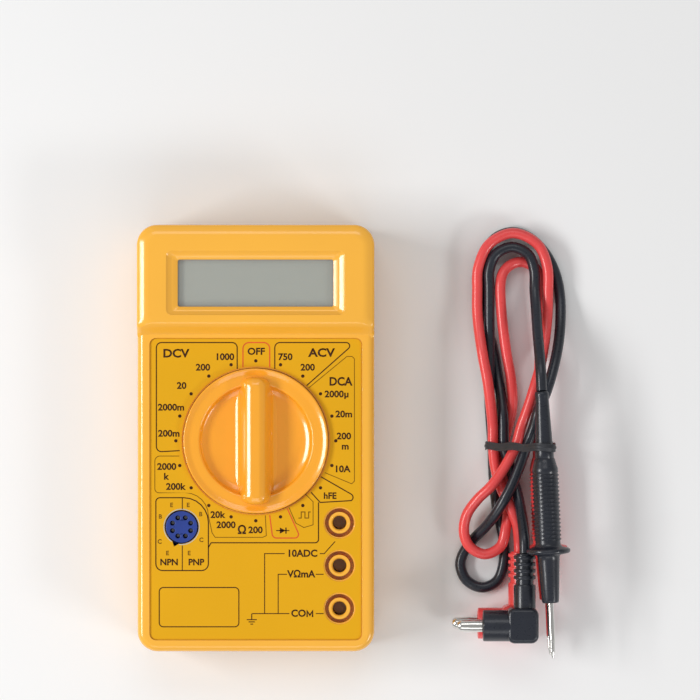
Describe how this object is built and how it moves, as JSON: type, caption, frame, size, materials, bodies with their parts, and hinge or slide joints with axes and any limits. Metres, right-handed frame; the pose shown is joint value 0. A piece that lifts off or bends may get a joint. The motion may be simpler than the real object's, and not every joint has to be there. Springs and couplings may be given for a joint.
{
  "type": "digital multimeter",
  "caption": "Pocket digital multimeter with a rotary range dial, blank LCD, transistor socket, banana jacks and folded test leads.",
  "frame": {"origin": "bottom centre of the meter lying on its back, without the test leads", "axes": "+X to the right of the front face, +Y towards the display, +Z out of the front face"},
  "size_m": [0.128, 0.1285, 0.0275],
  "materials": {
    "case_yellow": "glossy moulded",
    "label": "printed satin film",
    "clear_window": "clear",
    "lcd": "grey-green display",
    "white_plastic": "satin",
    "silicone": "matt",
    "board": "lacquered glass fibre",
    "brass": "turned",
    "socket_blue": "moulded",
    "tinned": "tinned",
    "epoxy": "glossy",
    "fuse_glass": "clear",
    "manganin": "drawn wire",
    "trimmer_blue": "moulded",
    "resistor_tan": "lacquered",
    "capacitor_red": "dipped",
    "steel": "zinc plated",
    "battery_shell": "printed sleeve",
    "snap_black": "moulded",
    "wire_red": "insulated wire",
    "wire_black": "insulated wire",
    "foam": "open foam",
    "dial_yellow": "glossy moulded",
    "lead_red": "satin vinyl",
    "lead_black": "satin vinyl",
    "tie_black": "coated wire",
    "pin_nickel": "nickel plated"
  },
  "bodies": {
    "case": {"front_case": "case_yellow", "rear_case": "case_yellow", "front_label": "label", "display_window": "clear_window", "lcd_panel": "lcd", "lcd_frame": "white_plastic", "zebra_strip": "silicone", "main_board": "board", "jack_10a": "brass", "jack_volt_ohm": "brass", "jack_common": "brass", "transistor_socket": "socket_blue", "socket_contacts": "tinned", "chip_blob": "epoxy", "fuse_tube": "fuse_glass", "fuse_caps": "tinned", "fuse_clips": "tinned", "shunt_wire": "manganin", "trimmer": "trimmer_blue", "resistors": "resistor_tan", "resistor_leads": "tinned", "capacitors": "capacitor_red", "case_screws": "steel", "board_screws": "steel", "battery": "battery_shell", "battery_terminals": "tinned", "battery_snap": "snap_black", "battery_wire_red": "wire_red", "battery_wire_black": "wire_black", "foam_pad": "foam"},
    "dial": {"dial_knob": "dial_yellow", "wiper_contacts": "brass", "detent_balls": "steel", "detent_springs": "steel"},
    "test_leads": {"red_plug_body": "lead_red", "red_plug_pin": "pin_nickel", "red_probe_handle": "lead_red", "red_probe_boot": "lead_red", "red_probe_tip": "pin_nickel", "red_lead": "lead_red", "black_plug_body": "lead_black", "black_plug_pin": "pin_nickel", "black_probe_handle": "lead_black", "black_probe_boot": "lead_black", "black_probe_tip": "pin_nickel", "black_lead": "lead_black", "twist_tie": "tie_black"}
  },
  "joints": [
    {"name": "dial_turn", "type": "hinge", "parent": "case", "child": "dial", "pos_m": [0, -0.0007, 0.0169], "axis": [0, 0, 1], "continuous": true},
    {"name": "leads_lift", "type": "slide", "parent": "case", "child": "test_leads", "axis": [0, 0, 1], "range_m": [0, 0.15]}
  ]
}
